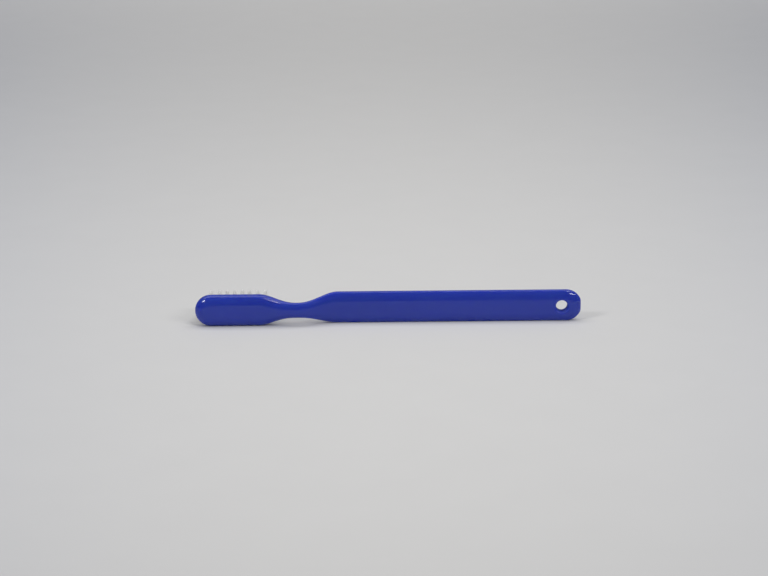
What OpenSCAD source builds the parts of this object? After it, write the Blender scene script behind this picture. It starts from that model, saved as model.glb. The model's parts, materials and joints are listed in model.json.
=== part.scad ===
// Manual toothbrush, standing on its long narrow edge.
// X runs from the tip of the head to the butt of the handle, +Y is the way the bristles point
// and +Z is up. The origin is at the middle of the brush's box in X and Y, on the surface below it.
// Handle, neck and head are one moulding. Its outline lies in the XZ plane, and every point of the
// outline carries an edge of one kind: a narrow flat land between two quarters of an ellipse.

/* [Handle] */
// Length of the whole brush, from the tip of the head to the butt
brush_length = 155; // [130:1:200]
// Width of the handle
handle_width = 12.8; // [11.5:0.1:15]
// Thickness of the handle
handle_thickness = 5; // [4:0.1:7]
// How far the soft edges reach in over the handle's faces
handle_edge = 3.6; // [1:0.1:4]
// How much of the half round butt is cut off flat
butt_cut = 0.4; // [0.2:0.05:0.8]
// Radius of the two corners beside the flat of the butt
butt_corner = 1.2; // [0.4:0.1:2]
// Width of the flat land that runs all round the sides
side_land = 0.8; // [0.3:0.1:1.5]

/* [Hang hole] */
// Diameter of the hang hole
hang_hole_d = 4.7; // [3:0.1:6]
// Distance from the butt to the middle of the hang hole
hang_hole_inset = 7.7; // [6.5:0.1:14]
// Radius of the rounded lip at each mouth of the hang hole
hang_hole_lip = 1; // [0.2:0.1:1]

/* [Neck] */
// Distance from the tip of the head to the narrowest part of the neck
neck_place = 41; // [36:0.5:55]
// Width of the neck at its narrowest
neck_width = 6.1; // [4.5:0.1:9]
// Thickness of the neck at its narrowest
neck_thickness = 4; // [3.4:0.1:6]
// How far the soft edges reach in over the neck's faces
neck_edge = 2.2; // [1:0.1:2.2]
// Length over which the head narrows into the neck
head_taper = 15.2; // [12:0.1:20]
// Length over which the neck widens into the handle
handle_taper = 16.2; // [12:0.1:26]
// How far the handle's back is set forward of the head's back
handle_rise = 3.8; // [0:0.1:6]
// Length over which the neck climbs to the handle
rise_length = 16.5; // [12:0.1:26]

/* [Head] */
// Width of the head
head_width = 12.7; // [12:0.1:15]
// Thickness of the head
head_thickness = 5; // [4.4:0.1:7]
// How far the soft edge reaches in over the head's back
head_back_edge = 3.6; // [1:0.1:4]
// Depth of the soft edge on the head's back
head_back_depth = 2.85; // [1:0.05:3]
// How far the edge reaches in over the bristle face
head_front_edge = 1; // [0.4:0.1:1.2]

/* [Tufts] */
// Distance between tufts along the head
tuft_pitch = 3.12; // [2.8:0.01:4]
// Distance between rows across the head
row_pitch = 2.65; // [2.3:0.05:2.75]
// Distance from the tip of the head to the first tufts of the inner rows
first_tuft = 2.72; // [2.5:0.01:4]
// How far the tufts may run on past the parallel part of the head
tuft_reach = 2.1; // [0:0.1:3]
// Length of the bristles above the face of the head
bristle_length = 11; // [7:0.1:14]
// Diameter of the socket that holds a tuft
socket_d = 1.8; // [1.5:0.05:2]
// Depth of the socket that holds a tuft
socket_depth = 3.6; // [2.8:0.1:3.8]
// Thickness of the folded bristles below the anchor
fold_depth = 0.6; // [0.4:0.1:0.9]
// Width across one drawn bristle, which stands for a few real ones
strand_width = 0.3; // [0.2:0.01:0.34]
// Angle at which the outermost bristles of a tuft would lean outwards
strand_lean = 1.1; // [0:0.1:1.5]

/* [Anchors] */
// Width of an anchor, which bites into both walls of its socket
anchor_width = 2.2; // [2:0.05:2.4]
// Height of an anchor along the socket
anchor_height = 1.4; // [1:0.1:1.8]
// Thickness of an anchor
anchor_thickness = 0.3; // [0.2:0.05:0.4]
// Angle between the anchors and the length of the head
anchor_turn = 35; // [0:5:60]

/* [Hidden] */
// Clearance between an anchor and the plastic and bristles that it is driven into
anchor_gap = 0.01;
// Clearance between a tuft's root and its socket
root_gap = 0.02;
// How far the cutters run past the faces that they cut
overrun = 1;
// Half of the span over which the slope of the outline is measured
slope_probe = 0.01;
// Rows across the head, and how many tufts the two outer rows have less than the others
row_total = 4;
outer_shortfall = 1;
// Drawn bristles in a tuft, in rings: share of the root's radius, and how many stand on the ring
strand_ring_shares = [[0, 1], [0.4, 4], [0.76, 9]];
strand_sides = 4;
// How strongly the tapers of the head and of the handle are drawn towards the neck
head_taper_skew = 1.28;
handle_taper_skew = 1.15;
// Angle between the face and the rounded lip where they meet at the hang hole
lip_rim_angle = 20;
// Steps along the tip, each taper, the butt's two arcs, and a quarter of the edge
tip_steps = 18;
taper_steps = 18;
butt_steps = 10;
corner_steps = 3;
edge_steps = 7;

// The brush stands on the edge of its handle
mid_z = handle_width / 2;
depth_all = max(head_thickness + bristle_length, handle_rise + handle_thickness);
back_y = -depth_all / 2;
face_y = back_y + head_thickness;
tip_x = -brush_length / 2;
butt_x = brush_length / 2;
neck_x = tip_x + neck_place;
head_r = head_width / 2;
head_end_x = neck_x - head_taper;
hole_r = hang_hole_d / 2;
hole_x = butt_x - hang_hole_inset;
handle_back_y = back_y + handle_rise;

// Butt: a half round whose end is cut flat, with a small corner on each side of the flat
butt_r = handle_width / 2;
butt_middle_x = butt_x + butt_cut - butt_r;
corner_run = butt_r - butt_cut - butt_corner;
corner_z = sqrt(pow(butt_r - butt_corner, 2) - pow(corner_run, 2));
corner_angle = atan2(corner_z, corner_run);

// Tufts in the longest row, and where the flat of the bristle face ends
most_in_row = floor((head_end_x + tuft_reach - tip_x - first_tuft) / tuft_pitch) + 1;
last_tuft_x = tip_x + first_tuft + tuft_pitch * (most_in_row - 1);
flat_end_x = min(last_tuft_x + socket_d, neck_x - socket_d);
root_r = socket_d / 2 - root_gap;

function row_count(r) = r == 1 || r == row_total ? most_in_row - outer_shortfall : most_in_row;
function tuft_name(r, i) = str("tuft_row", r, "_", i);
function anchors_name(r) = str("anchors_row", r);

function mix(a, b, t) = a + (b - a) * t;
function ease(t) = t <= 0 ? 0 : t >= 1 ? 1 : t * t * (3 - 2 * t);

// Outline: 0 at the narrowest part of the neck, 1 where the head or the handle has its full width
function spread(x) = x < neck_x
    ? ease(pow((neck_x - x) / head_taper, head_taper_skew))
    : ease(pow((x - neck_x) / handle_taper, handle_taper_skew));
function half_width(x) = mix(neck_width, x < neck_x ? head_width : handle_width, spread(x)) / 2;
function slope(x) = (half_width(x + slope_probe) - half_width(x - slope_probe)) / (2 * slope_probe);

// Depth: 0 at the neck, 1 where the head or the handle has its full thickness
function depth_share(x) = x < neck_x ? ease((neck_x - x) / (neck_x - flat_end_x)) : spread(x);
function from_neck(x, neck_value, head_value, handle_value) =
    mix(neck_value, x < neck_x ? head_value : handle_value, depth_share(x));
function thickness(x) = from_neck(x, neck_thickness, head_thickness, handle_thickness);
function back_depth(x) = from_neck(
    x, (neck_thickness - side_land) / 2, head_back_depth, (handle_thickness - side_land) / 2);
function front_depth(x) = thickness(x) - side_land - back_depth(x);
function back_edge(x) = from_neck(x, neck_edge, head_back_edge, handle_edge);
function front_edge(x) = from_neck(x, neck_edge, head_front_edge, handle_edge);
function back_face(x) = back_y + handle_rise * ease((x - neck_x) / rise_length);

// Upper half of the outline, from the tip to the butt: [x, z, inward x, inward z]
function tip_arc() = [for (i = [0:tip_steps]) let (a = 90 * i / tip_steps)
    [tip_x + head_r * (1 - cos(a)), head_r * sin(a), cos(a), -sin(a)]];
function taper_line(start, length) = [for (i = [0:taper_steps])
    let (x = start + length * i / taper_steps, s = slope(x), n = sqrt(1 + s * s))
    [x, half_width(x), s / n, -1 / n]];
function to_butt_middle(x, z) = let (run = butt_middle_x - x, n = norm([run, z])) [x, z, run / n, -z / n];
function butt_arc() = [for (i = [0:butt_steps]) let (a = mix(90, corner_angle, i / butt_steps))
    to_butt_middle(butt_middle_x + butt_r * cos(a), butt_r * sin(a))];
function corner_arc() = [for (i = [1:corner_steps]) let (a = corner_angle * (1 - i / corner_steps))
    to_butt_middle(butt_x - butt_corner * (1 - cos(a)), corner_z + butt_corner * sin(a))];
neck_line = taper_line(neck_x, handle_taper);
upper = concat(
    tip_arc(),
    taper_line(head_end_x, head_taper),
    [for (i = [1:taper_steps]) neck_line[i]],
    butt_arc(),
    corner_arc(),
    [to_butt_middle(butt_x, 0)]
);
last_upper = len(upper) - 1;
outline = concat(upper, [for (i = [last_upper - 1:-1:1])
    let (p = upper[i]) [p[0], -p[1], p[2], -p[3]]]);
outline_count = len(outline);
edge_count = 2 * (edge_steps + 1);

// One point of the edge that an outline point carries: at angle 0 on the side land, at 90 on a face
function edge_point(p, angle, on_back) =
    let (inset = (on_back ? back_edge(p[0]) : front_edge(p[0])) * (1 - cos(angle)),
         x = p[0] + p[2] * inset,
         land_y = back_face(x) + back_depth(x),
         y = on_back ? land_y - back_depth(x) * sin(angle) : land_y + side_land + front_depth(x) * sin(angle))
    [x, y, mid_z + p[1] + p[3] * inset];
function edge_points(p) = concat(
    [for (k = [edge_steps:-1:0]) edge_point(p, 90 * k / edge_steps, true)],
    [for (k = [0:edge_steps]) edge_point(p, 90 * k / edge_steps, false)]
);

module moulding() {
    points = [for (p = outline) each edge_points(p)];
    sides = [for (j = [0:outline_count - 1]) for (k = [0:edge_count - 2]) let (n = (j + 1) % outline_count)
        [j * edge_count + k, j * edge_count + k + 1, n * edge_count + k + 1, n * edge_count + k]];
    // Each face is a row of strips, from a point of the upper outline to its twin on the lower one
    strips = [for (i = [0:last_upper - 1])
        let (twin = (outline_count - i) % outline_count, next_twin = outline_count - i - 1)
        i == 0 ? [0, 1, next_twin] : i + 1 == next_twin ? [i, i + 1, twin] : [i, i + 1, next_twin, twin]];
    back = [for (s = strips) [for (m = s) m * edge_count]];
    front = [for (s = strips) [for (m = [len(s) - 1:-1:0]) s[m] * edge_count + edge_count - 1]];
    polyhedron(points = points, faces = concat(sides, back, front), convexity = 6);
}

// A bore through the handle with a rounded lip at both mouths
module hang_hole() {
    translate([hole_x, handle_back_y, mid_z]) rotate([-90, 0, 0]) {
        translate([0, 0, -overrun]) cylinder(r = hole_r, h = handle_thickness + 2 * overrun, $fn = 64);
        lip_cut();
        translate([0, 0, handle_thickness]) mirror([0, 0, 1]) lip_cut();
    }
}

module lip_cut() {
    lip_depth = hang_hole_lip * cos(lip_rim_angle);
    rotate_extrude($fn = 64) difference() {
        translate([0, -overrun]) square([hole_r + hang_hole_lip, lip_depth + overrun]);
        translate([hole_r + hang_hole_lip, lip_depth]) circle(r = hang_hole_lip, $fn = 48);
    }
}

// Puts its children at tuft i of row r, with +Z as the way the bristles point
module at_tuft(r, i) {
    place = last_tuft_x - tuft_pitch * (row_count(r) - i);
    translate([place, face_y, mid_z + row_pitch * (r - (row_total + 1) / 2)]) rotate([-90, 0, 0]) children();
}

module anchor_plate(gap) {
    rotate([0, 0, anchor_turn])
        translate([-anchor_width / 2 - gap, -anchor_thickness / 2 - gap, fold_depth - socket_depth - gap])
            cube([anchor_width + 2 * gap, anchor_thickness + 2 * gap, anchor_height + 2 * gap]);
}

module handle() {
    color([0.07, 0.12, 0.62]) difference() {
        moulding();
        hang_hole();
        for (r = [1:row_total]) for (i = [1:row_count(r)]) at_tuft(r, i) {
            translate([0, 0, -socket_depth]) cylinder(d = socket_d, h = socket_depth + overrun, $fn = 32);
            anchor_plate(anchor_gap);
        }
    }
}

// One straight bristle with four sides, each of two triangles
module strand() {
    ring = [for (k = [0:strand_sides - 1])
        let (a = 360 * k / strand_sides) strand_width / 2 * [cos(a), sin(a)]];
    points = [for (z = [0, bristle_length + strand_width]) for (p = ring) [p[0], p[1], z]];
    sides = [for (k = [0:strand_sides - 1]) let (n = (k + 1) % strand_sides)
        each [[k, k + strand_sides, n], [n, k + strand_sides, n + strand_sides]]];
    ends = [for (k = [1:strand_sides - 2])
        each [[0, k, k + 1], [strand_sides, strand_sides + k + 1, strand_sides + k]]];
    polyhedron(points = points, faces = concat(sides, ends));
}

// The folded root that fills the socket, and the bristles that stand out of it
module tuft() {
    color([0.93, 0.94, 0.93]) difference() {
        union() {
            translate([0, 0, root_gap - socket_depth])
                cylinder(r = root_r, h = socket_depth - root_gap, $fn = 32);
            for (ring = strand_ring_shares) for (k = [1:ring[1]])
                rotate([0, 0, 360 * k / ring[1]])
                    translate([ring[0] * root_r, 0, -strand_width])
                        rotate([0, strand_lean * ring[0], 0]) strand();
        }
        anchor_plate(anchor_gap);
    }
}

module anchors(r) {
    color([0.72, 0.6, 0.35]) for (i = [1:row_count(r)]) at_tuft(r, i) anchor_plate(0);
}

handle();
for (r = [1:row_total]) {
    for (i = [1:row_count(r)])
        at_tuft(r, i) tuft();
    anchors(r);
}
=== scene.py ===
"""Looks of a plain manual toothbrush, built around its packed solids.

Lengths are in metres, in the frame of the solids: X runs from the tip of the head to the butt of the
handle, +Y is the way the bristles point and +Z is up. The brush stands on the long narrow edge of its
handle. The moulding and the tufts are made by Geometry Nodes trees, whose inputs are their sizes.
"""

from __future__ import annotations

import json
import logging
import math
from collections.abc import Callable
from dataclasses import dataclass, field, fields, replace
from enum import Enum, IntEnum
from types import SimpleNamespace

import bpy
from mathutils import Matrix, Vector

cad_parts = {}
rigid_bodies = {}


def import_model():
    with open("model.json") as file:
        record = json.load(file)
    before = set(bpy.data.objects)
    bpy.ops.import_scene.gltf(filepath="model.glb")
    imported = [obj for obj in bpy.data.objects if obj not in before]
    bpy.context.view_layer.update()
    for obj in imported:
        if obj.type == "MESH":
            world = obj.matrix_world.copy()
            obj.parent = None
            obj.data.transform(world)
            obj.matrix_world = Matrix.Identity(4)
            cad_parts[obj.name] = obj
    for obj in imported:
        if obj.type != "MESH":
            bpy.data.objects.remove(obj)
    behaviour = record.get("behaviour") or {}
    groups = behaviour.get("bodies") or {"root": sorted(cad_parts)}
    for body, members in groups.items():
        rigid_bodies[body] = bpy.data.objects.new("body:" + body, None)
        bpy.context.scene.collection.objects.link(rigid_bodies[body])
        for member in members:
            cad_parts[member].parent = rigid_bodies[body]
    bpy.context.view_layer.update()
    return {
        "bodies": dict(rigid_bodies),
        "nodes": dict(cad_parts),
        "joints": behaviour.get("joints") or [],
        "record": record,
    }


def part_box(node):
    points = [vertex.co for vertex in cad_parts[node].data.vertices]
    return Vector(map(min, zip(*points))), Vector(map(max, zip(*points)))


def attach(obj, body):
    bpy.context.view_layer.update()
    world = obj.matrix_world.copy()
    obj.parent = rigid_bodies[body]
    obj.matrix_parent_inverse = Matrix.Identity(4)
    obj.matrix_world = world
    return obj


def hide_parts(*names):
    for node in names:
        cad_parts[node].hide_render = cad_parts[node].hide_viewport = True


log = logging.getLogger("toothbrush")

Material = bpy.types.Material
Socket = bpy.types.NodeSocket
Triple = tuple[float, float, float]

MM = 0.001
QUARTER = math.pi / 2
BODY = "root"
MIX_COLOURS = (6, 7)
MIX_RESULT = 2


class Slot(Enum):
    """Material slots of the pieces made here, by the record's names."""

    PLASTIC = "blue_plastic"
    NYLON = "bristle_nylon"


class Side(Enum):
    """The side that a mirror image makes, with the scale along each axis that does it."""

    FRONT = (1.0, -1.0, 1.0)
    LOWER = (1.0, 1.0, -1.0)


class Sketch:
    """Draws nodes and links into one node tree."""

    def __init__(self, tree: bpy.types.NodeTree) -> None:
        """Takes the tree that the nodes are added to."""
        self.tree = tree

    def add(self, kind: str, inputs: dict | None = None, **settings: object) -> bpy.types.Node:
        """Adds a node, sets it up and feeds its inputs.

        Args:
            kind: The node's type name.
            inputs: What goes into each input, by the input's name or number.
            **settings: Properties of the node itself.

        Returns:
            The new node.
        """
        node = self.tree.nodes.new(kind)
        for name, value in settings.items():
            setattr(node, name, value)
        for key, value in (inputs or {}).items():
            self.feed(node.inputs[key], value)
        return node

    def feed(self, socket: Socket, value: object) -> None:
        """Links a socket or a Number into an input, or sets a plain value on it.

        Args:
            socket: The input.
            value: What goes into it.
        """
        if isinstance(value, Number):
            value = value.socket
        if isinstance(value, Socket):
            self.tree.links.new(value, socket)
        else:
            socket.default_value = value

    def vector(self, x: object, y: object, z: object) -> Socket:
        """Returns the output of a node that joins three numbers into a vector."""
        return self.add("ShaderNodeCombineXYZ", {0: x, 1: y, 2: z}).outputs[0]

    def split(self, vector: Socket) -> Place:
        """Returns x, y and z of a vector."""
        return tuple(Number(self, part) for part in self.add("ShaderNodeSeparateXYZ", {0: vector}).outputs)

    def noise(self, place: Socket, scale: object, **more: float) -> Number:
        """Returns a noise pattern at a place, with the texture's other inputs by their names."""
        node = self.add("ShaderNodeTexNoise", {"Vector": place, "Scale": scale, **more})
        return Number(self, node.outputs["Fac"])

    def index(self) -> Number:
        """Returns each point's own number, from 0."""
        return Number(self, self.add("GeometryNodeInputIndex").outputs[0])

    def placed(self, mesh: Socket, x: object, y: object, z: object) -> Socket:
        """Returns the mesh with its points put at x, y and z."""
        inputs = {"Geometry": mesh, "Position": self.vector(x, y, z)}
        return self.add("GeometryNodeSetPosition", inputs).outputs["Geometry"]

    def transformed(self, mesh: Socket, **how: object) -> Socket:
        """Returns the mesh moved, turned or scaled, by the names of the Transform node's inputs."""
        return self.add("GeometryNodeTransform", {"Geometry": mesh, **how}).outputs["Geometry"]

    def at_points(self, mesh: Socket, instance: Socket) -> Socket:
        """Returns an instance at each vertex of a mesh."""
        points = self.add("GeometryNodeMeshToPoints", {"Mesh": mesh}).outputs["Points"]
        return self.add("GeometryNodeInstanceOnPoints", {"Points": points, "Instance": instance}).outputs[0]

    def put_out(self, geometry: Socket, material: Material) -> None:
        """Ends a Geometry Nodes tree: makes its instances real and gives the mesh its material.

        Args:
            geometry: What the tree has made.
            material: The material.
        """
        real = self.add("GeometryNodeRealizeInstances", {"Geometry": geometry}).outputs[0]
        dressed = self.add("GeometryNodeSetMaterial", {"Geometry": real, "Material": material})
        self.add("NodeGroupOutput", {0: dressed.outputs[0]})

    def put_out_surface(self, height: object, strength: float, distance: float, inputs: dict) -> None:
        """Ends a material's tree with a bump and a Principled BSDF.

        Args:
            height: The height that makes the bump.
            strength: How strong the bump is.
            distance: How far a height of 1 stands out.
            inputs: What else goes into the shader.
        """
        bump = self.add("ShaderNodeBump", {"Strength": strength, "Distance": distance, "Height": height})
        shader = self.add("ShaderNodeBsdfPrincipled", {"Normal": bump.outputs["Normal"], **inputs})
        self.add("ShaderNodeOutputMaterial", {"Surface": shader.outputs["BSDF"]})


def math_method(operation: str, meaning: str, turned: bool = False) -> Callable[..., Number]:
    """Makes a method of Number that adds a Math node.

    Args:
        operation: The node's operation.
        meaning: The method's docstring.
        turned: Whether the number itself comes last.

    Returns:
        The method.
    """

    def method(self: Number, *others: object) -> Number:
        """Returns the output of the new node."""
        values = (*others, self) if turned else (self, *others)
        node = self.sketch.add("ShaderNodeMath", dict(enumerate(values)), operation=operation)
        return Number(self.sketch, node.outputs[0])

    method.__doc__ = meaning
    return method


class Number:
    """A number that differs from point to point of a mesh, which arithmetic signs combine."""

    def __init__(self, sketch: Sketch, socket: Socket) -> None:
        """Takes the sketch of the tree that the number is in, and the output that carries it."""
        self.sketch = sketch
        self.socket = socket

    __add__ = __radd__ = math_method("ADD", "Returns the sum.")
    __sub__ = math_method("SUBTRACT", "Returns the difference.")
    __rsub__ = math_method("SUBTRACT", "Returns the difference.", turned=True)
    __mul__ = __rmul__ = math_method("MULTIPLY", "Returns the product.")
    __truediv__ = math_method("DIVIDE", "Returns the quotient.")
    __pow__ = math_method("POWER", "Returns the number to a power.")
    sin = math_method("SINE", "Returns the sine of an angle in radians.")
    cos = math_method("COSINE", "Returns the cosine of an angle in radians.")
    sqrt = math_method("SQRT", "Returns the square root.")
    floor = math_method("FLOOR", "Returns the whole number below.")
    distance = math_method("ABSOLUTE", "Returns the number without its sign.")
    angle_over = math_method("ARCTAN2", "Returns the angle of a slope that rises by this over a run.")
    at_most = math_method("MINIMUM", "Returns the smaller of two numbers.")
    at_least = math_method("MAXIMUM", "Returns the larger of two numbers.")
    softly_at_most = math_method("SMOOTH_MIN", "Returns the smaller of two numbers, rounded by a blend.")

    def __neg__(self) -> Number:
        """Returns the number with its sign changed."""
        return self * -1.0

    def share(self) -> Number:
        """Returns the number held between 0 and 1."""
        return self.at_least(0.0).at_most(1.0)

    def ease(self) -> Number:
        """Returns the number held between 0 and 1, with a gentle start and end."""
        held = self.share()
        return held * held * (3.0 - 2.0 * held)


Place = tuple[Number, Number, Number]
Outline = tuple[Number, Number, Number, Number]


def length_of(x: Number, z: Number) -> Number:
    """Returns the length of the vector (x, z)."""
    return (x * x + z * z).sqrt()


def title_of(name: str) -> str:
    """Returns the name that a dataclass field has among a tree's inputs."""
    return name.replace("_", " ").title()


class PieceTree:
    """A Geometry Nodes tree that grows a piece from points and has its sizes for inputs."""

    def __init__(self, name: str, sizes: object) -> None:
        """Makes the tree, still empty, with one named input for each field of a dataclass.

        Args:
            name: The tree's name.
            sizes: The dataclass, which also gives the inputs' defaults.
        """
        self.tree = bpy.data.node_groups.new(name, "GeometryNodeTree")
        self.sketch = Sketch(self.tree)
        for way in ("INPUT", "OUTPUT"):
            self.tree.interface.new_socket(name="Geometry", in_out=way, socket_type="NodeSocketGeometry")
        for item in fields(sizes):
            kind = "NodeSocketInt" if item.type == "int" else "NodeSocketFloat"
            made = self.tree.interface.new_socket(name=title_of(item.name), in_out="INPUT", socket_type=kind)
            made.default_value = getattr(sizes, item.name)
        entry = self.sketch.add("NodeGroupInput").outputs
        self.points = entry["Geometry"]
        found = {item.name: Number(self.sketch, entry[title_of(item.name)]) for item in fields(sizes)}
        self.size = SimpleNamespace(**found)

    def grow(self, name: str, points: list[Vector], sizes: object, sharp_from: float) -> bpy.types.Object:
        """Grows a plain mesh piece.

        Args:
            name: The piece's name.
            points: The vertices that the tree starts from.
            sizes: The dataclass whose fields are the tree's inputs.
            sharp_from: The angle between faces, in degrees, from which an edge is drawn sharp.

        Returns:
            The piece, as a plain mesh at the origin and without its modifier.
        """
        seed_mesh = bpy.data.meshes.new(name)
        seed_mesh.from_pydata([tuple(p) for p in points], [], [])
        piece = bpy.data.objects.new(name, seed_mesh)
        bpy.context.scene.collection.objects.link(piece)
        modifier = piece.modifiers.new("grow", "NODES")
        modifier.node_group = self.tree
        values = {title_of(item.name): getattr(sizes, item.name) for item in fields(sizes)}
        for item in self.tree.interface.items_tree:
            if item.name in values:
                modifier[item.identifier] = values[item.name]
        evaluated = piece.evaluated_get(bpy.context.evaluated_depsgraph_get())
        mesh = bpy.data.meshes.new_from_object(evaluated)
        piece.modifiers.remove(modifier)
        piece.data = mesh
        mesh.name = name
        mesh.polygons.foreach_set("use_smooth", [True] * len(mesh.polygons))
        mesh.set_sharp_from_angle(angle=math.radians(sharp_from))
        bpy.data.meshes.remove(seed_mesh)
        return piece


def new_material(name: str) -> tuple[Material, Sketch, Socket]:
    """Makes a material whose tree holds nothing but the place on the surface.

    Args:
        name: The material's name.

    Returns:
        The material, a sketch of its tree, and the place.
    """
    made = bpy.data.materials.new(name)
    made.use_nodes = True
    made.node_tree.nodes.clear()
    sketch = Sketch(made.node_tree)
    return made, sketch, sketch.add("ShaderNodeTexCoord").outputs["Object"]


class MarksGroup:
    """The shader node group of the small marks that every finish of the brush carries."""

    INPUTS = {
        "Peel Scale": 300.0,
        "Peel Depth": 1.0,
        "Scratch Depth": 0.5,
        "Smudge Scale": 70.0,
        "Polished": 0.15,
        "Rubbed": 0.3,
    }
    SCRATCH_STRETCH = (90.0, 5200.0, 5200.0)
    SCRATCH_FROM = 0.66
    SCRATCH_ROUGHNESS = 0.4
    SMUDGE_FROM = 0.35
    SMUDGE_GAIN = 3.0

    def __init__(self) -> None:
        """Builds the group once for all materials: its peel, fine scratches and smudges."""
        tree = bpy.data.node_groups.new("Surface Marks", "ShaderNodeTree")
        tree.interface.new_socket(name="Position", in_out="INPUT", socket_type="NodeSocketVector")
        for name, value in self.INPUTS.items():
            made = tree.interface.new_socket(name=name, in_out="INPUT", socket_type="NodeSocketFloat")
            made.default_value = value
        for name in ("Height", "Roughness", "Tone"):
            tree.interface.new_socket(name=name, in_out="OUTPUT", socket_type="NodeSocketFloat")
        self.tree = tree
        sketch = Sketch(tree)
        entry = sketch.add("NodeGroupInput").outputs
        value = {name: Number(sketch, entry[name]) for name in self.INPUTS}
        place = entry["Position"]
        peel = sketch.noise(place, value["Peel Scale"], Detail=1.0)
        stretched = sketch.add("ShaderNodeMapping", {"Vector": place, "Scale": self.SCRATCH_STRETCH})
        streaks = sketch.noise(stretched.outputs[0], 1.0, Detail=2.0)
        smudges = sketch.noise(place, value["Smudge Scale"], Detail=4.0, Distortion=0.6)
        scratch = (streaks - self.SCRATCH_FROM).at_least(0.0)
        smudge = ((smudges - self.SMUDGE_FROM) * self.SMUDGE_GAIN).ease()
        height = peel * value["Peel Depth"] - scratch * value["Scratch Depth"]
        rough = value["Polished"] + (value["Rubbed"] - value["Polished"]) * smudge
        rough = (rough + scratch * self.SCRATCH_ROUGHNESS).share()
        sketch.add("NodeGroupOutput", {"Height": height, "Roughness": rough, "Tone": smudge})


@dataclass(frozen=True)
class Spot:
    """A point on the surface in a material's tree, with the tone and the roughness that its marks give."""

    sketch: Sketch
    place: Socket
    tone: Socket
    rough: Socket


@dataclass(frozen=True)
class Finish:
    """What the finishes of the brush share: two colours that mix over the surface, and the marks on it."""

    name: str
    colour: Triple
    second_colour: Triple
    polished: float
    rubbed: float
    peel_scale: float = 300.0
    bump_strength: float = 0.1
    bump_distance: float = 0.02 * MM
    settings: dict = field(default_factory=dict)

    def material(self, marks: MarksGroup) -> Material:
        """Makes the material.

        Args:
            marks: The group of small marks.

        Returns:
            The material, with its own Principled BSDF.
        """
        made, sketch, place = new_material(self.name)
        own = {"Peel Scale": self.peel_scale, "Polished": self.polished, "Rubbed": self.rubbed}
        mark = sketch.add("ShaderNodeGroup", {"Position": place, **own}, node_tree=marks.tree)
        spot = Spot(sketch, place, mark.outputs["Tone"], mark.outputs["Roughness"])
        inputs = {"Base Color": self.colour_at(spot), "Roughness": self.roughness_at(spot), **self.settings}
        sketch.put_out_surface(mark.outputs["Height"], self.bump_strength, self.bump_distance, inputs)
        return made

    def colour_at(self, spot: Spot) -> Socket:
        """Returns the two colours mixed by the tone of the marks."""
        return self.mixed(spot.sketch, spot.tone, self.colour, self.second_colour)

    def roughness_at(self, spot: Spot) -> Socket | Number:
        """Returns the roughness that the marks give, as it is."""
        return spot.rough

    @staticmethod
    def mixed(sketch: Sketch, share: object, first: object, second: object) -> Socket:
        """Returns the mix of two colours, by the share of the second."""
        ends = zip(MIX_COLOURS, ((*c, 1.0) if isinstance(c, tuple) else c for c in (first, second)))
        return sketch.add("ShaderNodeMix", {0: share, **dict(ends)}, data_type="RGBA").outputs[MIX_RESULT]


@dataclass(frozen=True)
class BluePlastic(Finish):
    """Glossy deep blue moulded plastic, slightly cloudy where the melt flowed and dull in the hang hole."""

    cloud_scale: float = 28.0
    cloud_stretch: Triple = (1.0, 4.0, 4.0)
    cloud_from: float = 0.4
    cloud_gain: float = 1.5
    cloud_colour: Triple = (0.0145, 0.044, 0.43)
    hole_middle: tuple[float, float] = (0.0, 0.0)
    hole_radius: float = 0.0
    dull_reach: float = 1.0 * MM
    dullness: float = 0.6

    def colour_at(self, spot: Spot) -> Socket:
        """Adds faint clouds, drawn out along the handle, to the two colours.

        Args:
            spot: The point on the surface.

        Returns:
            The colour.
        """
        inputs = {"Vector": spot.place, "Scale": self.cloud_stretch}
        stretched = spot.sketch.add("ShaderNodeMapping", inputs).outputs[0]
        cloud = spot.sketch.noise(stretched, self.cloud_scale, Detail=2.0)
        share = (cloud - self.cloud_from).share() * self.cloud_gain
        return self.mixed(spot.sketch, share, super().colour_at(spot), self.cloud_colour)

    def roughness_at(self, spot: Spot) -> Socket | Number:
        """Leaves the wall and the lip of the hang hole duller than the faces, as a mould's pin does.

        Args:
            spot: The point on the surface.

        Returns:
            The roughness.
        """
        x, _, z = spot.sketch.split(spot.place)
        gap = length_of(x - self.hole_middle[0], z - self.hole_middle[1])
        dull = (1.0 - (gap - self.hole_radius) / self.dull_reach).ease()
        return (Number(spot.sketch, spot.rough) + dull * self.dullness).share()


@dataclass(frozen=True)
class Nylon(Finish):
    """Translucent white filament, a little different from one bristle to the next."""

    # Painted shade: the grey that the bristles darken to at their roots.
    root_colour: Triple = (0.72, 0.73, 0.74)

    def colour_at(self, spot: Spot) -> Socket:
        """Mixes the colours by bristle and lets them fall off towards the root.

        Args:
            spot: The point on the surface.

        Returns:
            The colour.
        """
        sketch = spot.sketch
        own = sketch.add("ShaderNodeAttribute", attribute_name=TuftTree.TONE).outputs["Fac"]
        reach = sketch.add("ShaderNodeAttribute", attribute_name=TuftTree.REACH).outputs["Fac"]
        along = self.mixed(sketch, own, self.colour, self.second_colour)
        # painted shade: each bristle grows darker towards its root
        return self.mixed(sketch, Number(sketch, reach).ease(), self.root_colour, along)


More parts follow.
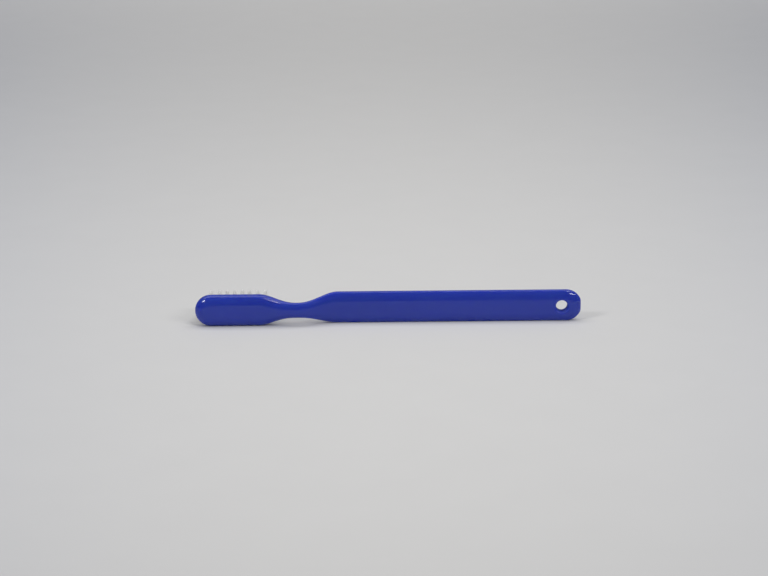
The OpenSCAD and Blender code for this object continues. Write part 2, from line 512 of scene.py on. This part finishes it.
@dataclass(frozen=True)
class HandleSizes:
    """Sizes of the moulding, in metres unless a name ends in skew."""

    tip_x: float
    butt_x: float
    middle_z: float
    back_y: float
    hole_x: float
    hole_radius: float
    handle_width: float
    head_width: float = 12.7 * MM
    head_thickness: float = 5.0 * MM
    handle_thickness: float = 5.0 * MM
    handle_edge: float = 3.6 * MM
    side_land: float = 0.8 * MM
    crown: float = 0.9 * MM
    parting_groove: float = 0.02 * MM
    butt_cut: float = 0.4 * MM
    butt_blend: float = 0.35 * MM
    hole_lip: float = 1.0 * MM
    neck_place: float = 41.0 * MM
    neck_width: float = 6.1 * MM
    neck_thickness: float = 4.0 * MM
    neck_edge: float = 2.2 * MM
    head_taper: float = 15.2 * MM
    head_taper_skew: float = 1.28
    handle_taper: float = 16.2 * MM
    handle_taper_skew: float = 1.15
    handle_rise: float = 3.8 * MM
    rise_length: float = 16.5 * MM
    head_back_edge: float = 3.6 * MM
    head_back_depth: float = 2.85 * MM
    head_front_edge: float = 1.0 * MM
    head_flat_end: float = 29.48 * MM
    hole_patch: float = 8.5 * MM
    socket_radius: float = 0.9 * MM
    socket_depth: float = 3.2 * MM
    slope_probe: float = 0.02 * MM
    merge_distance: float = 0.002 * MM


@dataclass(frozen=True)
class HandleSteps:
    """How finely each stretch of the moulding is drawn."""

    tip: int = 28
    head: int = 20
    head_taper: int = 40
    handle_taper: int = 44
    handle: int = 70
    beside_hole: int = 8
    butt: int = 40
    face: int = 6
    edge: int = 12
    edge_in_patch: int = 8
    land: int = 6
    to_lip: int = 8
    lip: int = 10
    wall: int = 3
    socket: int = 28

    def shaft(self) -> tuple[int, ...]:
        """Returns the steps of the stretches from the tip to the hole's patch."""
        return self.tip, self.head, self.head_taper, self.handle_taper, self.handle


class HandleTree(PieceTree):
    """The Geometry Nodes tree of the moulding.

    Its upper half is made of grids that are laid along the outline, from the middle of the back over the
    long edge to the middle of the front. Around the hang hole the faces are grids that run from the
    outline in to the hole. The lower half is a mirror image, and the sockets are cut out of the whole.
    """

    LEAST_COSINE = 0.01

    def __init__(self, sizes: HandleSizes, steps: HandleSteps, material: Material) -> None:
        """Draws the whole tree.

        Args:
            sizes: The moulding's sizes.
            steps: How finely it is drawn.
            material: The plastic.
        """
        super().__init__("Moulding", sizes)
        self.steps = steps
        size = self.size
        self.neck_x = size.tip_x + size.neck_place
        self.butt_radius = size.handle_width / 2.0
        self.butt_middle_x = size.butt_x + size.butt_cut - self.butt_radius
        self.patch_x = size.hole_x - size.hole_patch
        self._finish(material)

    def spread(self, x: Number) -> tuple[Number, Number]:
        """Tells how far the moulding has widened towards its head and its handle.

        Args:
            x: The place along the moulding.

        Returns:
            How near it is to the full head and to the full handle, each from 0 at the neck to 1.
        """
        to_head = ((self.neck_x - x) / self.size.head_taper).share() ** self.size.head_taper_skew
        to_handle = ((x - self.neck_x) / self.size.handle_taper).share() ** self.size.handle_taper_skew
        return to_head.ease(), to_handle.ease()

    def half_width(self, x: Number) -> Number:
        """Gives half of the moulding's width.

        Args:
            x: The place along the moulding.

        Returns:
            Half of the width there.
        """
        size = self.size
        head, handle = self.spread(x)
        more = (size.head_width - size.neck_width) * head + (size.handle_width - size.neck_width) * handle
        return (size.neck_width + more) / 2.0

    def from_neck(self, x: Number, neck: object, head: object, handle: object) -> Number:
        """Gives a size of the section, which changes between neck, head and handle.

        Args:
            x: The place along the moulding.
            neck: The size at the neck.
            head: The size at the head.
            handle: The size at the handle.

        Returns:
            The size there.
        """
        size = self.size
        to_head = ((self.neck_x - x) / (size.neck_place - size.head_flat_end)).ease()
        to_handle = self.spread(x)[1]
        return neck + to_head * (head - neck) + to_handle * (handle - neck)

    def outline(self, column: Number) -> Outline:
        """Places a point of the upper outline between the tip and the hole's patch.

        Args:
            column: Steps along the outline from the tip.

        Returns:
            The point's x and z, and x and z of the inward direction.
        """
        size = self.size
        ends = [0]
        for count in self.steps.shaft():
            ends.append(ends[-1] + count)
        shares = [((column - start) / (end - start)).share() for start, end in zip(ends, ends[1:])]
        radius = size.head_width / 2.0
        turn = shares[0] * QUARTER
        lengths = (
            size.neck_place - size.head_taper - radius,
            size.head_taper,
            size.handle_taper,
            self.patch_x - self.neck_x - size.handle_taper,
        )
        x = size.tip_x + radius * (1.0 - turn.cos())
        for share, length in zip(shares[1:], lengths):
            x = x + share * length
        probe = size.slope_probe
        slope = (self.half_width(x + probe) - self.half_width(x - probe)) / (2.0 * probe)
        inward_x = turn.cos() + slope
        norm = length_of(inward_x, turn.sin())
        return x, self.half_width(x) * turn.sin(), inward_x / norm, -turn.sin() / norm

    def butt_reach(self, angle: Number) -> Number:
        """Returns the distance from the butt's middle to its outline: a half round whose end is cut flat."""
        flat = (self.butt_radius - self.size.butt_cut) / angle.cos().at_least(self.LEAST_COSINE)
        return self.butt_radius.softly_at_most(flat, self.size.butt_blend)

    def butt_outline(self, column: Number) -> Outline:
        """Places a point of the upper outline between the hole's patch and the end of the butt.

        Args:
            column: Steps along the outline from the patch.

        Returns:
            The point's x and z, and x and z of the inward direction.
        """
        steps = self.steps
        angle = QUARTER * (1.0 - ((column - steps.beside_hole) / steps.butt).share())
        reach = self.butt_reach(angle)
        start = self.patch_x + (self.butt_middle_x - self.patch_x) * (column / steps.beside_hole).share()
        return start + reach * angle.cos(), reach * angle.sin(), -angle.cos(), -angle.sin()

    def section(self, outline: Outline, row: Number) -> Place:
        """Places a point of the section that an outline point carries.

        Args:
            outline: x, z and the inward direction of the outline point.
            row: Steps from the middle of the back, over the edge, to the middle of the front.

        Returns:
            The point's x, y and z, with z measured from the moulding's middle.
        """
        size, steps = self.size, self.steps
        edge_x, edge_z, inward_x, inward_z = outline
        starts = [steps.face, steps.face + steps.edge]
        starts += [starts[1] + steps.land, starts[1] + steps.land + steps.edge]
        back_face = (row / steps.face).share()
        back_angle = QUARTER * (1.0 - ((row - starts[0]) / steps.edge).share())
        over_land = ((row - starts[1]) / steps.land).share()
        front_angle = QUARTER * ((row - starts[2]) / steps.edge).share()
        front_face = 1.0 - ((row - starts[3]) / steps.face).share()
        back_edge = self.from_neck(edge_x, size.neck_edge, size.head_back_edge, size.handle_edge)
        front_edge = self.from_neck(edge_x, size.neck_edge, size.head_front_edge, size.handle_edge)
        groove = size.parting_groove * (1.0 - (over_land - 0.5).distance() * steps.land).at_least(0.0)
        inset = back_edge * (1.0 - back_angle.cos()) + front_edge * (1.0 - front_angle.cos()) + groove
        x = edge_x + inward_x * inset
        z = (edge_z + inward_z * inset) * back_face * front_face
        half_land = (size.neck_thickness - size.side_land) / 2.0
        handle_depth = (size.handle_thickness - size.side_land) / 2.0
        back_depth = self.from_neck(x, half_land, size.head_back_depth, handle_depth)
        thickness = self.from_neck(x, size.neck_thickness, size.head_thickness, size.handle_thickness)
        front_depth = thickness - size.side_land - back_depth
        rise = size.handle_rise * ((x - self.neck_x) / size.rise_length).ease()
        front_crown = self.from_neck(x, size.crown, 0.0, size.crown)
        fallen = self.fallen(x, z)
        y = size.back_y + rise + (back_depth - size.crown) * (1.0 - back_angle.sin()) + size.crown * fallen
        y = y + (size.side_land + (size.crown + front_crown) * (1.0 - fallen)) * over_land
        return x, y + (front_depth - front_crown) * front_angle.sin(), z

    def fallen(self, x: Number, z: Number) -> Number:
        """Tells how far the crown of a face has fallen off.

        Args:
            x: The place along the moulding.
            z: The height over its middle.

        Returns:
            The share that has fallen off, from 0 in the middle to 1 at the outline.
        """
        size = self.size
        past_middle = (x - self.butt_middle_x).at_least(0.0)
        half = self.half_width(x) - self.butt_radius + self.butt_reach(z.angle_over(past_middle))
        in_tip = (size.tip_x + size.head_width / 2.0 - x).at_least(0.0)
        share = length_of(past_middle + in_tip, z) / half
        return share * share

    def hole_face(self, column: Number, row: Number) -> Place:
        """Places a point of the back around the hang hole, and of the hole's wall down to half its depth.

        Args:
            column: Steps up the left side of the patch and on along the outline to the end of the butt.
            row: Steps from there in to the hole's lip, over the lip and down the wall.

        Returns:
            The point's x, y and z.
        """
        size, steps = self.size, self.steps
        left = steps.face + steps.edge - steps.edge_in_patch
        edge_x, edge_z, inward_x, inward_z = self.butt_outline((column - left).at_least(0.0))
        up = column.at_most(left)
        angle = QUARTER * (1.0 - ((up - steps.face) / steps.edge).share())
        inset = size.handle_edge * (1.0 - angle.cos())
        ring_x = edge_x + inward_x * inset - size.hole_x
        ring_z = (edge_z + inward_z * inset) * (up / steps.face).share()
        ring = length_of(ring_x, ring_z)
        to_lip = (row / steps.to_lip).share()
        turn = QUARTER * ((row - steps.to_lip) / steps.lip).share()
        down = ((row - steps.to_lip - steps.lip) / steps.wall).share()
        reach = ring + (size.hole_radius + size.hole_lip - ring) * to_lip - size.hole_lip * turn.sin()
        x = size.hole_x + ring_x / ring * reach
        z = ring_z / ring * reach
        y = self.face_y(x, z) + size.hole_lip * (1.0 - turn.cos())
        halfway = size.back_y + size.handle_rise + size.handle_thickness / 2.0
        return x, y + (halfway - y) * down, z

    def face_y(self, x: Number, z: Number) -> Number:
        """Gives the height of the handle's back, which falls off towards the outline.

        Args:
            x: The place along the moulding.
            z: The height over its middle.

        Returns:
            The back's y there.
        """
        size = self.size
        run = (x - self.butt_middle_x).at_least(0.0)
        inset = self.butt_reach(z.angle_over(run)) - length_of(run, z)
        cosine = (1.0 - inset / size.handle_edge).share()
        sine = (1.0 - cosine * cosine).sqrt()
        depth = (size.handle_thickness - size.side_land) / 2.0 - size.crown
        return size.back_y + size.handle_rise + depth * (1.0 - sine) + size.crown * self.fallen(x, z)

    def grid(self, columns: int, rows: int, rule: Callable[[Number, Number], Place]) -> Socket:
        """Lays a grid of faces over a rule.

        Args:
            columns: Steps along the outline.
            rows: Steps across it.
            rule: Gives x, y and z from the steps in each direction.

        Returns:
            The grid's mesh.
        """
        sketch = self.sketch
        mesh = sketch.add("GeometryNodeMeshGrid", {"Vertices X": columns + 1, "Vertices Y": rows + 1})
        index = sketch.index()
        column = (index / (rows + 1.0)).floor()
        row = index - column * (rows + 1.0)
        return sketch.placed(mesh.outputs["Mesh"], *rule(column, row))

    def flipped(self, mesh: Socket) -> Socket:
        """Returns the mesh with its faces turned over."""
        return self.sketch.add("GeometryNodeFlipFaces", {"Mesh": mesh}).outputs["Mesh"]

    def mirrored(self, mesh: Socket, side: Side, shift: object = 0.0) -> Socket:
        """Returns the mirror image that makes a side, moved along Y by a shift."""
        move = self.sketch.vector(0.0, shift, 0.0)
        return self.sketch.transformed(mesh, Translation=move, Scale=side.value)

    def joined(self, *meshes: Socket) -> Socket:
        """Joins meshes.

        Args:
            *meshes: The meshes.

        Returns:
            All of them as one.
        """
        node = self.sketch.add("GeometryNodeJoinGeometry")
        for mesh in meshes:
            self.sketch.feed(node.inputs[0], mesh)
        return node.outputs[0]

    def upper_half(self) -> Socket:
        """Makes the half of the moulding above its middle.

        Returns:
            The half, open along the middle.
        """
        steps, size = self.steps, self.size
        rows = 2 * (steps.face + steps.edge) + steps.land
        shaft = self.grid(
            sum(steps.shaft()), rows, lambda column, row: self.section(self.outline(column), row)
        )
        hidden = steps.face + steps.edge - steps.edge_in_patch
        rim = self.grid(
            steps.beside_hole + steps.butt,
            rows - 2 * hidden,
            lambda column, row: self.section(self.butt_outline(column), row + hidden),
        )
        back = self.grid(
            hidden + steps.beside_hole + steps.butt, steps.to_lip + steps.lip + steps.wall, self.hole_face
        )
        shift = 2.0 * (size.back_y + size.handle_rise) + size.handle_thickness
        front = self.mirrored(back, Side.FRONT, shift)
        return self.joined(shaft, rim, self.flipped(back), front)

    def sockets(self) -> Socket:
        """Makes what the sockets of the tufts are cut with.

        Returns:
            One solid at each input point.
        """
        sketch, size = self.sketch, self.size
        inputs = {"Vertices": self.steps.socket, "Radius": size.socket_radius}
        inputs["Depth"] = size.socket_depth * 2.0
        drill = sketch.add("GeometryNodeMeshCylinder", inputs).outputs["Mesh"]
        placed = sketch.at_points(self.points, sketch.transformed(drill, Rotation=(QUARTER, 0.0, 0.0)))
        return sketch.add("GeometryNodeRealizeInstances", {"Geometry": placed}).outputs[0]

    def _finish(self, material: Material) -> None:
        """Closes the moulding, cuts its sockets and gives it its plastic.

        Args:
            material: The plastic.
        """
        sketch, size = self.sketch, self.size
        upper = self.upper_half()
        whole = self.joined(upper, self.flipped(self.mirrored(upper, Side.LOWER)))
        merging = {"Geometry": whole, "Distance": size.merge_distance}
        closed = sketch.add("GeometryNodeMergeByDistance", merging).outputs[0]
        lifted = sketch.transformed(closed, Translation=sketch.vector(0.0, 0.0, size.middle_z))
        meshes = {"Mesh 1": lifted, "Mesh 2": self.sockets()}
        cut = sketch.add("GeometryNodeMeshBoolean", meshes, operation="DIFFERENCE", solver="EXACT")
        sketch.put_out(cut.outputs["Mesh"], material)


@dataclass(frozen=True)
class TuftSizes:
    """Sizes of one tuft, in metres unless a name ends in count, turn or seed."""

    strand_count: int = 46
    tuft_radius: float = 0.86 * MM
    strand_radius: float = 0.095 * MM
    bristle_length: float = 11.0 * MM
    root_length: float = 2.9 * MM
    length_play: float = 0.06 * MM
    tip_rounding: float = 0.09 * MM
    place_play: float = 0.03 * MM
    lean_turn: float = 0.02
    lean_play_turn: float = 0.014
    seed: int = 1


class Play(IntEnum):
    """What differs at random from one bristle of a tuft to the next."""

    PLACE_X = 1
    PLACE_Y = 2
    LEAN_X = 3
    LEAN_Y = 4
    LENGTH = 5
    TONE = 6


class TuftTree(PieceTree):
    """The Geometry Nodes tree of a tuft: straight bristles with rounded ends, fanned out a little.

    LOW, HIGH and DRAWN are the sockets of a Random Value node that carry plain numbers.
    """

    TONE = "bristle_tone"
    REACH = "bristle_reach"
    SIDES = 6
    SHAFT_STEPS = 2
    TIP_STEPS = 3
    TIP_WIDTH = 0.25
    SEED_STEP = 10.0
    SEED_TURN = 1.7
    LOW = 2
    HIGH = 3
    DRAWN = 1
    GOLDEN_TURN = math.pi * (3.0 - math.sqrt(5.0))

    def __init__(self, sizes: TuftSizes, material: Material) -> None:
        """Draws the whole tree, for a tuft of these sizes in this nylon."""
        super().__init__("Tuft", sizes)
        self._finish(material)

    def bristle(self) -> Socket:
        """Makes one bristle along +Z.

        Returns:
            The bristle, with the place along its length stored on it.
        """
        sketch, size = self.sketch, self.size
        line = sketch.add("GeometryNodeMeshLine", {"Count": self.SHAFT_STEPS + self.TIP_STEPS + 1})
        curve = sketch.add("GeometryNodeMeshToCurve", {"Mesh": line.outputs["Mesh"]})
        index = sketch.index()
        along = (index / self.SHAFT_STEPS).share()
        bend = ((index - self.SHAFT_STEPS) / self.TIP_STEPS).share() * QUARTER
        shaft = size.bristle_length - size.tip_rounding
        height = (shaft + size.root_length) * along - size.root_length + size.tip_rounding * bend.sin()
        profile = {"Resolution": self.SIDES, "Radius": size.strand_radius}
        tube = sketch.add(
            "GeometryNodeCurveToMesh",
            {
                "Curve": sketch.placed(curve.outputs[0], 0.0, 0.0, height),
                "Profile Curve": sketch.add("GeometryNodeCurvePrimitiveCircle", profile).outputs["Curve"],
                "Scale": (bend.cos() * (1.0 - self.TIP_WIDTH) + self.TIP_WIDTH).at_most(1.0),
                "Fill Caps": True,
            },
        )
        z = sketch.split(sketch.add("GeometryNodeInputPosition").outputs[0])[2]
        return self.stored(tube.outputs[0], self.REACH, (z / size.bristle_length).share(), "POINT")

    def stored(self, mesh: Socket, name: str, value: Number, domain: str) -> Socket:
        """Returns a mesh, or its instances, with a number stored on it for the material to read."""
        inputs = {"Geometry": mesh, "Name": name, "Value": value}
        return self.sketch.add("GeometryNodeStoreNamedAttribute", inputs, domain=domain).outputs[0]

    def random(self, low: object, high: object, play: Play) -> Number:
        """Returns a random number between two limits for each bristle."""
        inputs = {self.LOW: low, self.HIGH: high, "Seed": self.size.seed * self.SEED_STEP + float(play)}
        return Number(self.sketch, self.sketch.add("FunctionNodeRandomValue", inputs).outputs[self.DRAWN])

    def _finish(self, material: Material) -> None:
        """Spreads the bristles over the socket and turns them into one mesh.

        Args:
            material: The nylon.
        """
        sketch, size = self.sketch, self.size
        index = sketch.index()
        share = ((index + 0.5) / size.strand_count).sqrt()
        turn = index * self.GOLDEN_TURN + size.seed * self.SEED_TURN
        spread = size.tuft_radius - size.strand_radius
        x = turn.cos() * share * spread + self.random(-size.place_play, size.place_play, Play.PLACE_X)
        y = turn.sin() * share * spread + self.random(-size.place_play, size.place_play, Play.PLACE_Y)
        strands = {"Count": size.strand_count, "Position": sketch.vector(x, y, 0.0)}
        lean = size.lean_turn * share
        play = size.lean_play_turn
        lean_x = -turn.sin() * lean + self.random(-play, play, Play.LEAN_X)
        lean_y = turn.cos() * lean + self.random(-play, play, Play.LEAN_Y)
        stretch = 1.0 - self.random(0.0, size.length_play, Play.LENGTH) / size.bristle_length
        fanned = sketch.add(
            "GeometryNodeInstanceOnPoints",
            {
                "Points": sketch.add("GeometryNodePoints", strands).outputs[0],
                "Instance": self.bristle(),
                "Rotation": sketch.vector(lean_x, lean_y, turn),
                "Scale": sketch.vector(1.0, 1.0, stretch),
            },
        )
        toned = self.stored(fanned.outputs[0], self.TONE, self.random(0.0, 1.0, Play.TONE), "INSTANCE")
        upright = sketch.transformed(toned, Rotation=(-QUARTER, 0.0, 0.0))
        sketch.put_out(sketch.at_points(self.points, upright), material)


@dataclass
class Moulding:
    """Handle, neck and head: one moulding in blue plastic."""

    frame: dict
    marks: MarksGroup
    tufts: list[str]
    finish: Finish = BluePlastic(
        name="blue plastic",
        colour=(0.0127, 0.0385, 0.388),
        second_colour=(0.0136, 0.0408, 0.402),
        polished=0.08,
        rubbed=0.14,
        peel_scale=260.0,
        settings={
            "IOR": 1.5,
            "Subsurface Weight": 1.0,
            "Subsurface Radius": (0.15, 0.25, 1.0),
            "Subsurface Scale": 3.0 * MM,
        },
    )

    def sizes(self) -> HandleSizes:
        """Reads the moulding's sizes off the box of its solid and the hang hole's mount.

        Returns:
            The sizes.
        """
        low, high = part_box("handle")
        hole = next(m for m in self.frame["record"]["mounts"] if m["name"] == "hang_hole")
        return HandleSizes(
            tip_x=low.x,
            butt_x=high.x,
            middle_z=(low.z + high.z) / 2,
            back_y=low.y,
            hole_x=hole["pos_m"][0],
            hole_radius=hole["dims"]["r_mm"] * MM,
            handle_width=high.z - low.z,
        )

    def build(self) -> bpy.types.Object:
        """Makes the moulding, which stands for the handle's solid.

        Returns:
            The piece.
        """
        sizes = self.sizes()
        face_y = sizes.back_y + sizes.head_thickness
        places = [Vector((*tuft_middle(name), face_y)).xzy for name in self.tufts]
        hole_middle = (sizes.hole_x, sizes.middle_z)
        finish = replace(self.finish, hole_middle=hole_middle, hole_radius=sizes.hole_radius)
        tree = HandleTree(sizes, HandleSteps(), finish.material(self.marks))
        piece = tree.grow("handle_moulding", places, sizes, sharp_from=35.0)
        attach(piece, BODY)
        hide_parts("handle")
        return piece


def tuft_middle(name: str) -> tuple[float, float]:
    """Returns x and z of a tuft's axis, from the box of its solid."""
    low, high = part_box(name)
    return (low.x + high.x) / 2, (low.z + high.z) / 2


@dataclass
class Bristles:
    """The tufts of nylon bristles, each a piece of its own in its own socket."""

    marks: MarksGroup
    tufts: list[str]
    sizes: TuftSizes = TuftSizes()
    finish: Finish = Nylon(
        name="bristle nylon",
        colour=(0.97, 0.96, 0.96),
        second_colour=(0.93, 0.92, 0.92),
        polished=0.25,
        rubbed=0.35,
        peel_scale=900.0,
        settings={"IOR": 1.45, "Transmission Weight": 0.1},
    )

    def build(self) -> list[bpy.types.Object]:
        """Makes one piece for each tuft's solid, and lets it stand for that solid.

        Returns:
            The pieces.
        """
        tree = TuftTree(self.sizes, self.finish.material(self.marks))
        pieces = []
        for number, name in enumerate(self.tufts):
            x, z = tuft_middle(name)
            place = Vector((x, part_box(name)[1].y - self.sizes.bristle_length, z))
            sizes = replace(self.sizes, seed=number + 1)
            piece = tree.grow(name.replace("tuft", "bristles"), [place], sizes, sharp_from=50.0)
            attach(piece, BODY)
            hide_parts(name)
            pieces.append(piece)
        return pieces


@dataclass
class Anchors:
    """The flat metal anchors inside the sockets, whose solids are kept as they are."""

    frame: dict
    marks: MarksGroup
    finish: Finish = Finish(
        name="anchor metal",
        colour=(0.70, 0.58, 0.36),
        second_colour=(0.60, 0.50, 0.33),
        polished=0.22,
        rubbed=0.4,
        peel_scale=1800.0,
        settings={"Metallic": 1.0},
    )

    def dress(self) -> list[bpy.types.Object]:
        """Gives the anchors' solids their metal.

        Returns:
            The dressed solids.
        """
        metal = self.finish.material(self.marks)
        found = [o for name, o in sorted(self.frame["nodes"].items()) if name.startswith("anchors")]
        for piece in found:
            piece.data.materials.clear()
            piece.data.materials.append(metal)
        return found


@dataclass(frozen=True)
class Lamp:
    """A flat lamp that faces the brush, with its width along X as far as that goes."""

    name: str
    place: Triple
    width: float
    height: float
    power: float

    def hang(self) -> None:
        """Adds the lamp to the scene."""
        data = bpy.data.lights.new(self.name, "AREA")
        data.shape = "RECTANGLE"
        data.size = self.width
        data.size_y = self.height
        data.energy = self.power
        made = bpy.data.objects.new(self.name, data)
        away = Vector(self.place).normalized()
        across = (Vector((1.0, 0.0, 0.0)) - away.x * away).normalized()
        made.matrix_world = Matrix((across, away.cross(across), away)).transposed().to_4x4()
        made.location = self.place
        bpy.context.scene.collection.objects.link(made)


@dataclass
class Studio:
    """The pale floor, the light and the camera."""

    lamps: tuple[Lamp, ...] = (
        Lamp("overhead", (0.0, 0.17, 1.4), 2.4, 0.9, 10.6),
        Lamp("left", (-0.9, -0.7, 0.85), 0.34, 0.2, 4.2),
        Lamp("right", (0.82, -0.86, 0.82), 0.6, 0.16, 4.0),
        Lamp("accent", (0.42, -0.5, 1.2), 0.34, 0.06, 2.1),
    )
    world_strength: float = 0.24
    floor_colour: Triple = (0.679, 0.675, 0.671)
    # Painted shade on the floor: how much darker it grows to each side, per colour channel, and how far and
    # how softly.
    side_fall: Triple = (4.2, 3.8, 2.7)
    side_fall_limit: float = 0.08
    side_fall_ease: float = 0.7
    # Painted shade on the floor: where and how its tone falls off towards the back.
    fade_reach: tuple[float, float] = (-0.3, 0.85)
    fade_powers: Triple = (0.14, 0.87, 1.09)
    cloth_roughness: float = 0.9
    cloth_shine: float = 0.2
    mottle_scale: float = 40.0
    mottle_depth: float = 0.03
    weave_scale: float = 1400.0
    weave_strength: float = 0.15
    weave_depth: float = 0.1 * MM
    floor_half_width: float = 2.2
    floor_lines: tuple[float, ...] = (-1.6, -0.5, 0.0, 0.5)
    bend_start: float = 1.1
    bend_radius: float = 0.6
    bend_steps: int = 16
    wall_top: float = 1.6
    camera_distance: float = 0.9
    camera_elevation: float = 16.5
    camera_azimuth: float = 0.5
    camera_roll: float = -0.39
    camera_clip: tuple[float, float] = (0.01, 20.0)
    lens: float = 104.6
    sensor: float = 36.0
    aim: Triple = (0.0, 0.0, 6.4 * MM)
    photo_width: int = 768
    photo_height: int = 576
    aim_pixel: tuple[float, float] = (388.2, 305.2)

    def floor(self) -> bpy.types.Object:
        """Makes the sweep: a floor that bends up into a wall far behind the brush.

        Returns:
            The sweep.
        """
        profile = [(y, 0.0) for y in (*self.floor_lines, self.bend_start)]
        for step in range(1, self.bend_steps + 1):
            angle = QUARTER * step / self.bend_steps
            run = self.bend_radius * math.sin(angle)
            rise = self.bend_radius * (1.0 - math.cos(angle))
            profile.append((self.bend_start + run, rise))
        profile.append((self.bend_start + self.bend_radius, self.wall_top))
        sides = (-self.floor_half_width, self.floor_half_width)
        points = [(x, y, z) for y, z in profile for x in sides]
        faces = [(2 * i, 2 * i + 1, 2 * i + 3, 2 * i + 2) for i in range(len(profile) - 1)]
        mesh = bpy.data.meshes.new("sweep")
        mesh.from_pydata(points, [], faces)
        mesh.polygons.foreach_set("use_smooth", [True] * len(mesh.polygons))
        sweep = bpy.data.objects.new("sweep", mesh)
        bpy.context.scene.collection.objects.link(sweep)
        mesh.materials.append(self.cloth())
        return sweep

    def cloth(self) -> Material:
        """Makes the sweep's material: pale cloth that falls off in tone to the sides and behind.

        Returns:
            The material.
        """
        made, sketch, place = new_material("pale cloth")
        x, y, _ = sketch.split(place)
        # painted shade: the floor darkens to the sides and falls off in tone towards the back
        nearest, farthest = self.fade_reach
        away = y.at_least(nearest).at_most(farthest)
        painted_side_shade_mask = (x * x).at_most(self.side_fall_limit) * (1.0 - self.side_fall_ease * away)
        first, second, third = self.fade_powers
        painted_light_and_mottle = 1.0 + away * (first - away * (second - third * away))
        mottle = sketch.noise(place, self.mottle_scale, Detail=6.0)
        painted_light_and_mottle = painted_light_and_mottle * (1.0 + (mottle - 0.5) * self.mottle_depth)
        falls = zip(self.floor_colour, self.side_fall)
        # the floor's colour, with its painted shade and its mottle
        levels = dict(enumerate(level * (painted_light_and_mottle - fall * painted_side_shade_mask) for level, fall in falls))
        inputs = {
            "Base Color": sketch.add("ShaderNodeCombineColor", levels).outputs[0],
            "Roughness": self.cloth_roughness,
            "Specular IOR Level": self.cloth_shine,
        }
        weave = sketch.noise(place, self.weave_scale, Detail=2.0)
        sketch.put_out_surface(weave, self.weave_strength, self.weave_depth, inputs)
        return made

    def light(self) -> None:
        """Lights the scene: a dim even world, a wide soft lamp overhead and small ones in front."""
        world = bpy.data.worlds.new("studio")
        world.use_nodes = True
        back = world.node_tree.nodes["Background"]
        back.inputs["Color"].default_value = (1.0, 1.0, 1.0, 1.0)
        back.inputs["Strength"].default_value = self.world_strength
        bpy.context.scene.world = world
        for lamp in self.lamps:
            lamp.hang()

    def camera(self) -> None:
        """Adds the camera at the photograph's angle, so that the brush's middle falls on its pixel."""
        data = bpy.data.cameras.new("camera")
        data.lens = self.lens
        data.sensor_width = self.sensor
        data.clip_start, data.clip_end = self.camera_clip
        made = bpy.data.objects.new("camera", data)
        turn = math.radians(self.camera_azimuth)
        rise = math.radians(self.camera_elevation)
        away = Vector((-math.sin(turn) * math.cos(rise), -math.cos(turn) * math.cos(rise), math.sin(rise)))
        looking = (-away).to_track_quat("-Z", "Y").to_matrix()
        pixels_per_unit = self.lens / self.sensor * self.photo_width
        right = (self.aim_pixel[0] - self.photo_width / 2) / pixels_per_unit
        below = (self.aim_pixel[1] - self.photo_height / 2) / pixels_per_unit
        nudge = Matrix.Rotation(math.atan(right), 3, "Y") @ Matrix.Rotation(math.atan(below), 3, "X")
        roll = Matrix.Rotation(math.radians(self.camera_roll), 3, "Z")
        made.location = Vector(self.aim) + away * self.camera_distance
        made.rotation_mode = "QUATERNION"
        made.rotation_quaternion = (looking @ roll @ nudge).to_quaternion()
        bpy.context.scene.collection.objects.link(made)
        bpy.context.scene.camera = made

    def build(self) -> None:
        """Sets up the floor, the light and the camera, and the plain colour transform."""
        bpy.context.scene.view_settings.view_transform = "Standard"
        self.floor()
        self.light()
        self.camera()


def main() -> None:
    """Loads the frame, builds every piece and reports it, and notes the sizes of solids and pieces."""
    logging.basicConfig(level=logging.INFO, format="%(name)s: %(message)s")
    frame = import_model()
    Studio().build()
    tufts = sorted(name for name in frame["nodes"] if name.startswith("tuft"))
    marks = MarksGroup()
    pieces = [Moulding(frame, marks, tufts).build()]
    pieces += Bristles(marks, tufts).build()
    pieces += Anchors(frame, marks).dress()
    for piece in pieces:
        log.info("%s: %d faces", piece.name, len(piece.data.polygons))


if __name__ == "__main__":
    main()
